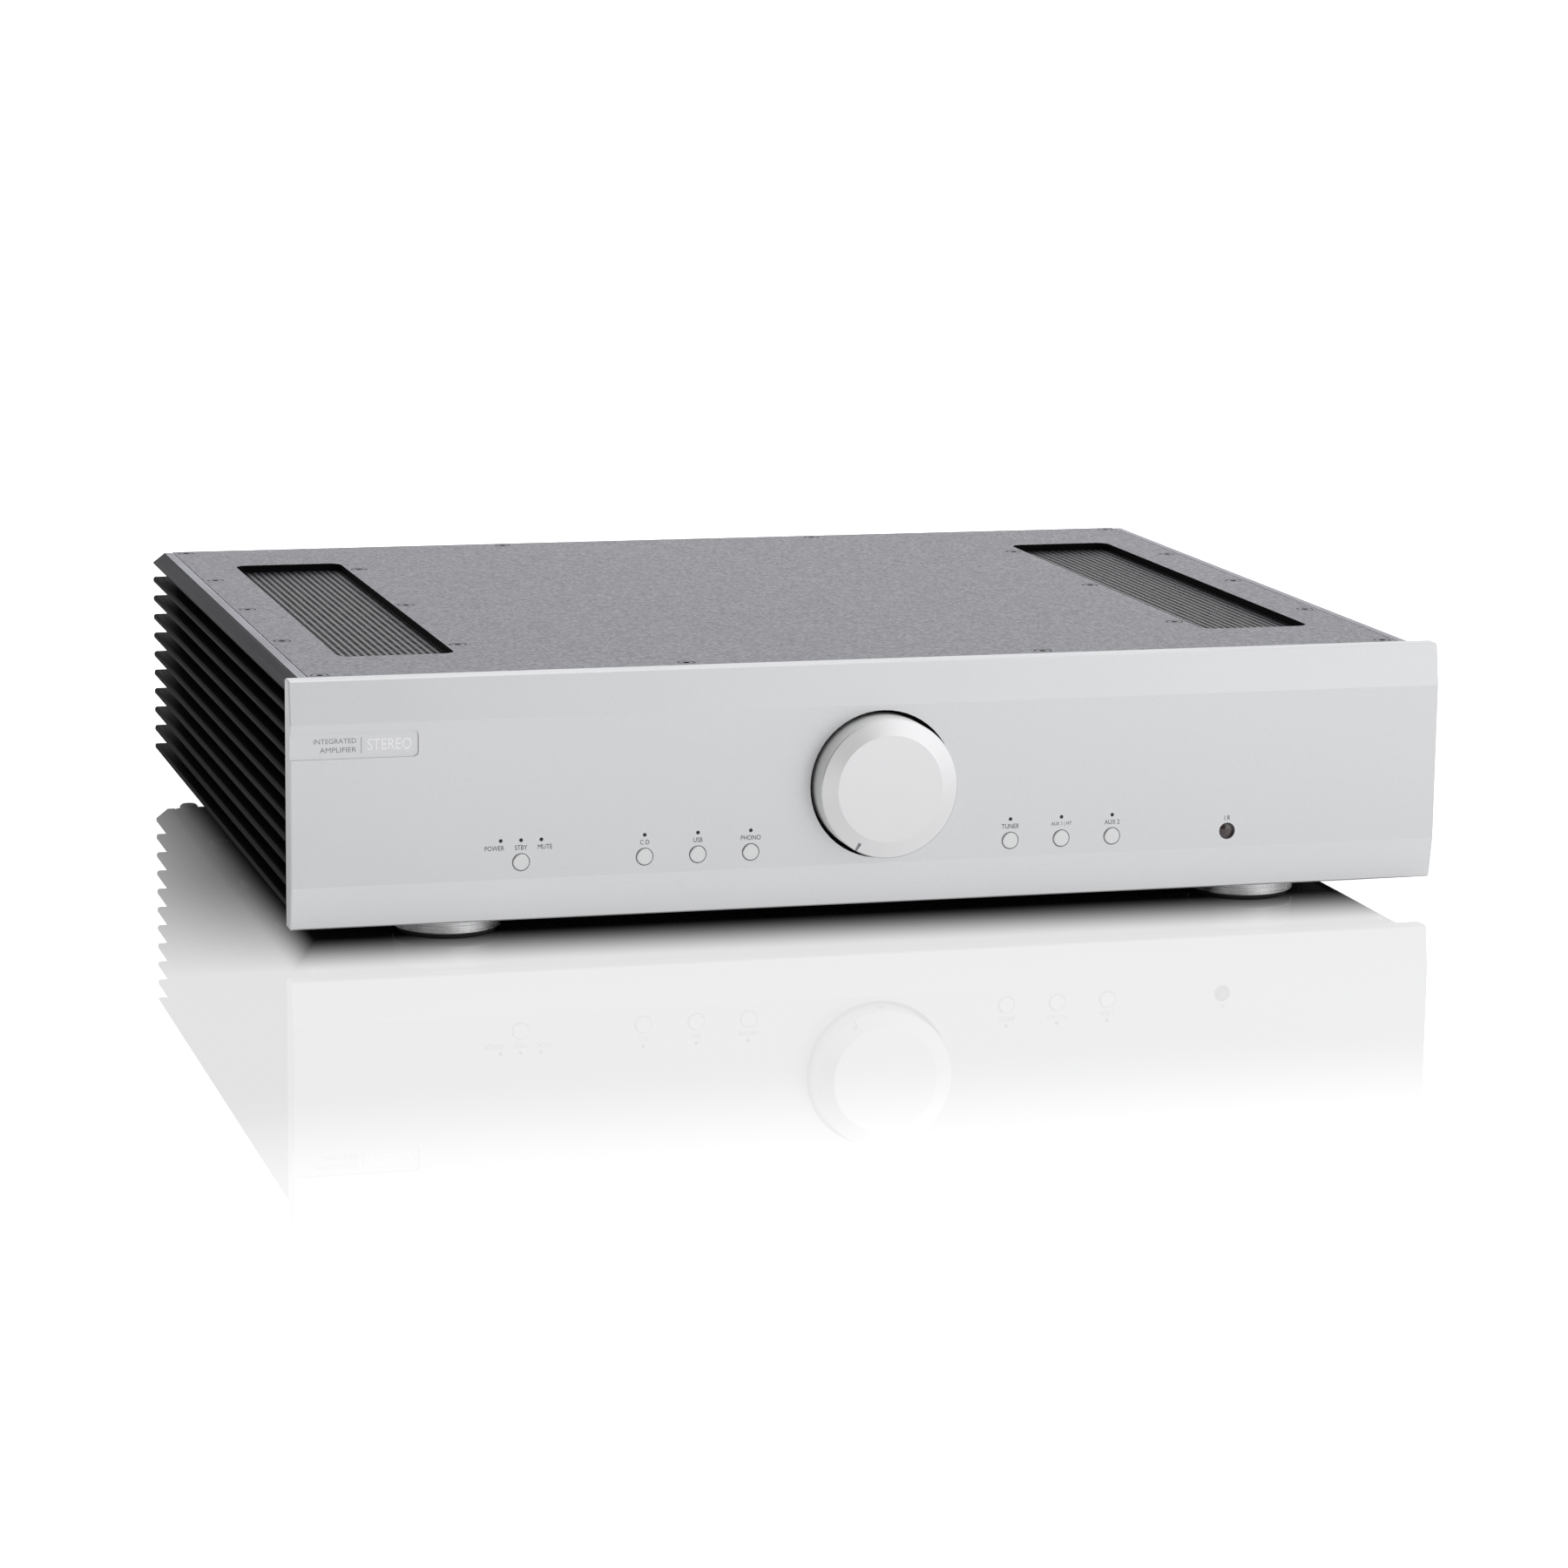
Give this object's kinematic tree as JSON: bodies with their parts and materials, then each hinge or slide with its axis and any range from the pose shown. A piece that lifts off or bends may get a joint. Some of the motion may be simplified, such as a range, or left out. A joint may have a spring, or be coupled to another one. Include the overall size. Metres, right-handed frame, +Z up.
{
  "type": "integrated amplifier",
  "caption": "Full-width stereo amplifier: silver faceted front with a central volume knob and round push buttons, dark vented top cover, finned side heatsinks, round feet.",
  "frame": {"origin": "on the surface it stands on, in the middle of its bounding box", "axes": "+X to the right as seen from the front, +Y from the front to the back, +Z up"},
  "size_m": [0.44, 0.381, 0.1],
  "materials": {
    "fascia": "fine blasted and anodised",
    "knob": "fine turned and anodised",
    "button": "satin anodised",
    "cover": "fine textured powder coat",
    "heatsink": "black anodised",
    "mesh": "satin black",
    "steel_sheet": "zinc plated",
    "rear_sheet": "fine textured powder coat",
    "black_screw": "black oxide",
    "zinc_screw": "zinc plated",
    "foot": "turned and anodised",
    "rubber": "matt",
    "window": "dark tinted",
    "pipe": "clear",
    "board": "green solder mask",
    "component": "moulded",
    "shaft": "turned",
    "nut": "nickel plated",
    "motor": "plated can",
    "winding": "taped winding",
    "capacitor": "shrink sleeve",
    "post": "natural nylon",
    "wire": "insulated wire",
    "inlet": "moulded",
    "pin": "nickel plated",
    "rocker": "moulded",
    "gold": "gold plated",
    "insulator": "moulded",
    "usb_shell": "plated",
    "cap_red": "moulded",
    "cap_black": "moulded"
  },
  "bodies": {
    "case": {"front_panel": "fascia", "front_bracket": "steel_sheet", "chassis_base": "steel_sheet", "rear_panel": "rear_sheet", "top_cover": "cover", "vent_mesh_left": "mesh", "vent_mesh_right": "mesh", "heatsink_left": "heatsink", "heatsink_right": "heatsink", "feet": "foot", "foot_pads": "rubber", "cover_screws": "black_screw", "case_screws": "zinc_screw", "volume_pot": "component", "pot_nut": "nut", "volume_motor": "motor", "front_board": "board", "tact_switches": "component", "light_pipes": "pipe", "ir_window": "window", "ir_receiver": "component", "power_board": "board", "amp_board_left": "board", "amp_board_right": "board", "preamp_board": "board", "transformer": "winding", "transformer_pads": "rubber", "transformer_clamp": "steel_sheet", "transformer_bolt": "zinc_screw", "reservoir_capacitors": "capacitor", "output_transistors": "component", "board_standoffs": "post", "wiring_harness": "wire", "mains_inlet": "inlet", "inlet_pins": "pin", "rca_sockets": "gold", "rca_insulators": "insulator", "usb_socket": "usb_shell", "speaker_insulators": "cap_black", "speaker_studs": "gold"},
    "volume_control": {"volume_knob": "knob", "knob_setscrew": "black_screw", "volume_shaft": "shaft"},
    "rocker": {"mains_rocker": "rocker"},
    "ground_screw": {"ground_thumbscrew": "gold"},
    "standby_key": {"standby_button": "button"},
    "cd_key": {"cd_button": "button"},
    "usb_key": {"usb_button": "button"},
    "phono_key": {"phono_button": "button"},
    "tuner_key": {"tuner_button": "button"},
    "aux1_key": {"aux1_button": "button"},
    "aux2_key": {"aux2_button": "button"},
    "washer_1": {"speaker_washer_1": "gold"},
    "cap_1": {"speaker_cap_1": "cap_red"},
    "washer_2": {"speaker_washer_2": "gold"},
    "cap_2": {"speaker_cap_2": "cap_black"},
    "washer_3": {"speaker_washer_3": "gold"},
    "cap_3": {"speaker_cap_3": "cap_red"},
    "washer_4": {"speaker_washer_4": "gold"},
    "cap_4": {"speaker_cap_4": "cap_black"}
  },
  "joints": [
    {"name": "volume_turn", "type": "hinge", "parent": "case", "child": "volume_control", "pos_m": [0, -0.18, 0.05475], "axis": [0, 1, 0], "range_deg": [0, 300]},
    {"name": "standby_push", "type": "slide", "parent": "case", "child": "standby_key", "axis": [0, 1, 0], "range_m": [0, 0.0008], "stiffness_N_per_m": 1000, "springref_m": -0.0008},
    {"name": "cd_push", "type": "slide", "parent": "case", "child": "cd_key", "axis": [0, 1, 0], "range_m": [0, 0.0008], "stiffness_N_per_m": 1000, "springref_m": -0.0008},
    {"name": "usb_push", "type": "slide", "parent": "case", "child": "usb_key", "axis": [0, 1, 0], "range_m": [0, 0.0008], "stiffness_N_per_m": 1000, "springref_m": -0.0008},
    {"name": "phono_push", "type": "slide", "parent": "case", "child": "phono_key", "axis": [0, 1, 0], "range_m": [0, 0.0008], "stiffness_N_per_m": 1000, "springref_m": -0.0008},
    {"name": "tuner_push", "type": "slide", "parent": "case", "child": "tuner_key", "axis": [0, 1, 0], "range_m": [0, 0.0008], "stiffness_N_per_m": 1000, "springref_m": -0.0008},
    {"name": "aux1_push", "type": "slide", "parent": "case", "child": "aux1_key", "axis": [0, 1, 0], "range_m": [0, 0.0008], "stiffness_N_per_m": 1000, "springref_m": -0.0008},
    {"name": "aux2_push", "type": "slide", "parent": "case", "child": "aux2_key", "axis": [0, 1, 0], "range_m": [0, 0.0008], "stiffness_N_per_m": 1000, "springref_m": -0.0008},
    {"name": "rocker_tip", "type": "hinge", "parent": "case", "child": "rocker", "pos_m": [-0.118, 0.1595, 0.046], "axis": [1, 0, 0], "range_deg": [0, 24]},
    {"name": "washer_1_slide", "type": "slide", "parent": "case", "child": "washer_1", "axis": [0, 1, 0], "range_m": [0, 0.004]},
    {"name": "cap_1_turn", "type": "hinge", "parent": "washer_1", "child": "cap_1", "pos_m": [-0.0745, 0.18, 0.052], "axis": [0, 1, 0], "range_deg": [0, 1441]},
    {"name": "washer_2_slide", "type": "slide", "parent": "case", "child": "washer_2", "axis": [0, 1, 0], "range_m": [0, 0.004]},
    {"name": "cap_2_turn", "type": "hinge", "parent": "washer_2", "child": "cap_2", "pos_m": [-0.0555, 0.18, 0.052], "axis": [0, 1, 0], "range_deg": [0, 1441]},
    {"name": "washer_3_slide", "type": "slide", "parent": "case", "child": "washer_3", "axis": [0, 1, 0], "range_m": [0, 0.004]},
    {"name": "cap_3_turn", "type": "hinge", "parent": "washer_3", "child": "cap_3", "pos_m": [-0.0195, 0.18, 0.052], "axis": [0, 1, 0], "range_deg": [0, 1441]},
    {"name": "washer_4_slide", "type": "slide", "parent": "case", "child": "washer_4", "axis": [0, 1, 0], "range_m": [0, 0.004]},
    {"name": "cap_4_turn", "type": "hinge", "parent": "washer_4", "child": "cap_4", "pos_m": [-0.0005, 0.18, 0.052], "axis": [0, 1, 0], "range_deg": [0, 1441]},
    {"name": "ground_turn", "type": "hinge", "parent": "case", "child": "ground_screw", "pos_m": [0.18, 0.17, 0.08], "axis": [0, 1, 0], "range_deg": [0, 720]}
  ],
  "couplings": [
    {"joint": "cap_1_turn", "follows": "washer_1_slide", "rad_per_m": 6283.2},
    {"joint": "cap_2_turn", "follows": "washer_2_slide", "rad_per_m": 6283.2},
    {"joint": "cap_3_turn", "follows": "washer_3_slide", "rad_per_m": 6283.2},
    {"joint": "cap_4_turn", "follows": "washer_4_slide", "rad_per_m": 6283.2}
  ]
}
